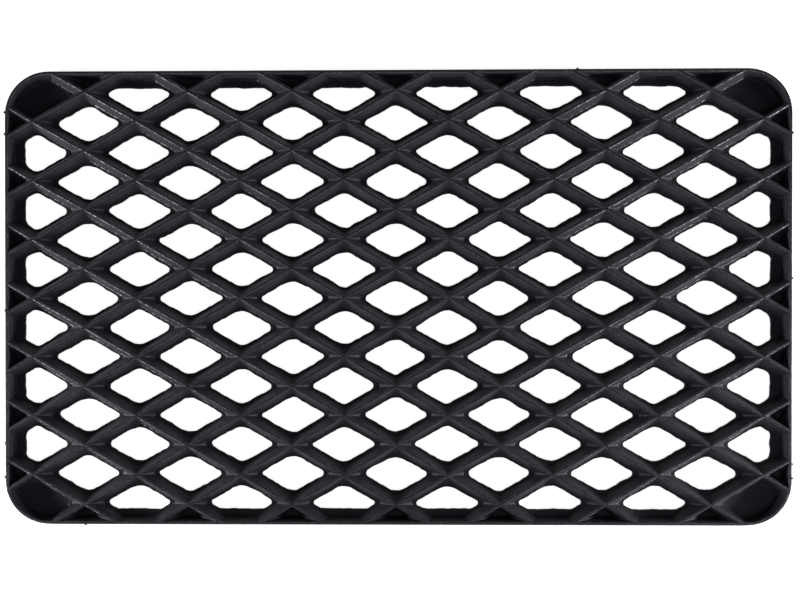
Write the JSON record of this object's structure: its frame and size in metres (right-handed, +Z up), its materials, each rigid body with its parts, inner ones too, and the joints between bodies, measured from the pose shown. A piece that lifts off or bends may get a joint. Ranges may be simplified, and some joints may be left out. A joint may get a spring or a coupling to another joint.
{
  "type": "lattice mat",
  "caption": "Rectangular open mat of thin upstanding ribs that cross in a diamond lattice inside a raised rim with rounded corners; lies flat and lets water and grit fall through.",
  "frame": {"origin": "centre of the flat underside", "axes": "+X along the long side, +Y along the short side, +Z up, from the resting face to the rib tops"},
  "size_m": [0.505, 0.2936, 0.01],
  "materials": {
    "rubber": "matte moulded black rubber with a faint sheen on the rib edges"
  },
  "bodies": {
    "root": {"rising_rib_01": "rubber", "rising_rib_02": "rubber", "rising_rib_03": "rubber", "rising_rib_04": "rubber", "rising_rib_05": "rubber", "rising_rib_06": "rubber", "rising_rib_07": "rubber", "rising_rib_08": "rubber", "rising_rib_09": "rubber", "rising_rib_10": "rubber", "rising_rib_11": "rubber", "rising_rib_12": "rubber", "rising_rib_13": "rubber", "rising_rib_14": "rubber", "falling_rib_01": "rubber", "falling_rib_02": "rubber", "falling_rib_03": "rubber", "falling_rib_04": "rubber", "falling_rib_05": "rubber", "falling_rib_06": "rubber", "falling_rib_07": "rubber", "falling_rib_08": "rubber", "falling_rib_09": "rubber", "falling_rib_10": "rubber", "falling_rib_11": "rubber", "falling_rib_12": "rubber", "falling_rib_13": "rubber", "falling_rib_14": "rubber", "rim_front": "rubber", "rim_back": "rubber", "rim_left": "rubber", "rim_right": "rubber", "corner_front_left": "rubber", "corner_front_right": "rubber", "corner_back_left": "rubber", "corner_back_right": "rubber"}
  },
  "joints": []
}
